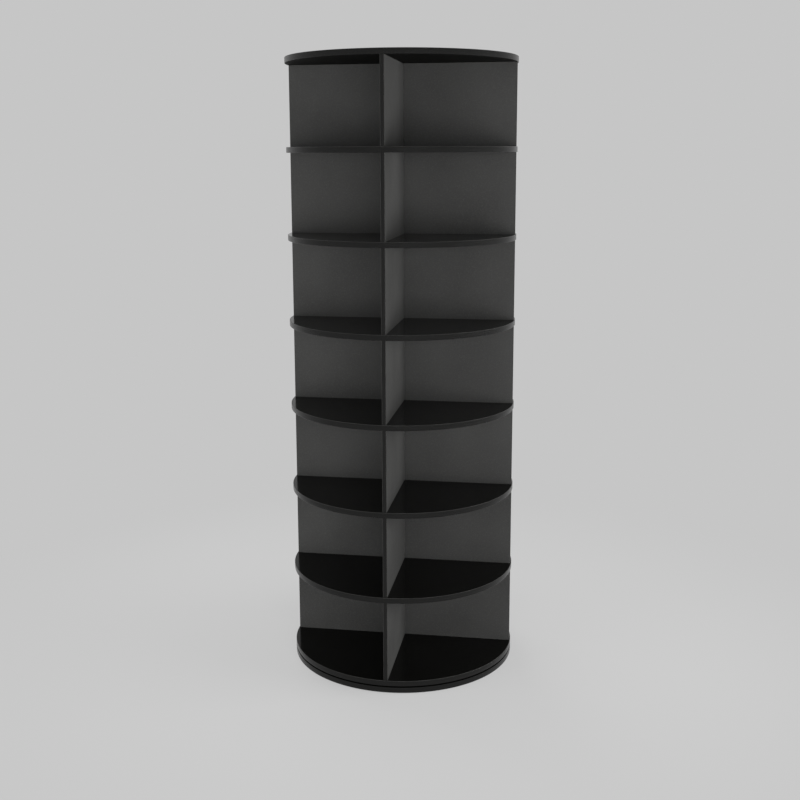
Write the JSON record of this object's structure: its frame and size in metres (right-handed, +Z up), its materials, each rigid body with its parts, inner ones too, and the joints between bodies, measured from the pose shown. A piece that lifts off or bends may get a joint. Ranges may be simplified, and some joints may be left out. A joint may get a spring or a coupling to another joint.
{
  "type": "rotating shoe tower",
  "caption": "Round shelves crossed by upright boards make tiers of open quarter-round shoe compartments; the whole tower turns on a ball race over a fixed round base.",
  "frame": {"origin": "on the floor, on the turning axis, at the centre of the feet's lower faces", "axes": "+Z up along the turning axis; the wide panels stand along X and the front dividers point along -Y at rest"},
  "size_m": [0.4999, 0.5, 1.338],
  "materials": {
    "black_board": "black satin melamine on fibreboard",
    "black_edging": "black satin edge band",
    "foot_rubber": "matt rubber",
    "race_aluminium": "turned, satin",
    "ball_steel": "polished",
    "cage_plastic": "plain moulded",
    "screw_steel": "zinc plated",
    "cap_plastic": "black satin film",
    "dowel_wood": "plain beech"
  },
  "bodies": {
    "base": {"base_disc": "black_board", "base_edge_band": "black_edging", "feet": "foot_rubber", "turntable_outer_race": "race_aluminium", "outer_race_screws": "screw_steel"},
    "ball_ring": {"turntable_balls": "ball_steel", "turntable_cage": "cage_plastic"},
    "tower": {"bottom_shelf": "black_board", "shelf_2": "black_board", "shelf_3": "black_board", "shelf_4": "black_board", "shelf_5": "black_board", "shelf_6": "black_board", "shelf_7": "black_board", "top_board": "black_board", "bottom_shelf_edge_band": "black_edging", "shelf_2_edge_band": "black_edging", "shelf_3_edge_band": "black_edging", "shelf_4_edge_band": "black_edging", "shelf_5_edge_band": "black_edging", "shelf_6_edge_band": "black_edging", "shelf_7_edge_band": "black_edging", "top_board_edge_band": "black_edging", "wide_panel_1": "black_board", "wide_panel_2": "black_board", "wide_panel_3": "black_board", "wide_panel_4": "black_board", "wide_panel_5": "black_board", "wide_panel_6": "black_board", "wide_panel_7": "black_board", "front_divider_1": "black_board", "front_divider_2": "black_board", "front_divider_3": "black_board", "front_divider_4": "black_board", "front_divider_5": "black_board", "front_divider_6": "black_board", "front_divider_7": "black_board", "rear_divider_1": "black_board", "rear_divider_2": "black_board", "rear_divider_3": "black_board", "rear_divider_4": "black_board", "rear_divider_5": "black_board", "rear_divider_6": "black_board", "rear_divider_7": "black_board", "upright_edge_bands_1": "black_edging", "upright_edge_bands_2": "black_edging", "upright_edge_bands_3": "black_edging", "upright_edge_bands_4": "black_edging", "upright_edge_bands_5": "black_edging", "upright_edge_bands_6": "black_edging", "upright_edge_bands_7": "black_edging", "turntable_inner_race": "race_aluminium", "inner_race_screws": "screw_steel", "bottom_shelf_screws": "screw_steel", "shelf_screws": "screw_steel", "top_board_screws": "screw_steel", "top_screw_caps": "cap_plastic", "shelf_dowels": "dowel_wood", "cross_dowels": "dowel_wood"}
  },
  "joints": [
    {"name": "tower_spin", "type": "hinge", "parent": "base", "child": "tower", "pos_m": [0, 0, 0.0135], "axis": [0, 0, 1], "continuous": true},
    {"name": "ball_ring_spin", "type": "hinge", "parent": "base", "child": "ball_ring", "pos_m": [0, 0, 0.0135], "axis": [0, 0, 1], "continuous": true}
  ],
  "couplings": [
    {"joint": "ball_ring_spin", "follows": "tower_spin", "ratio": 0.5}
  ]
}
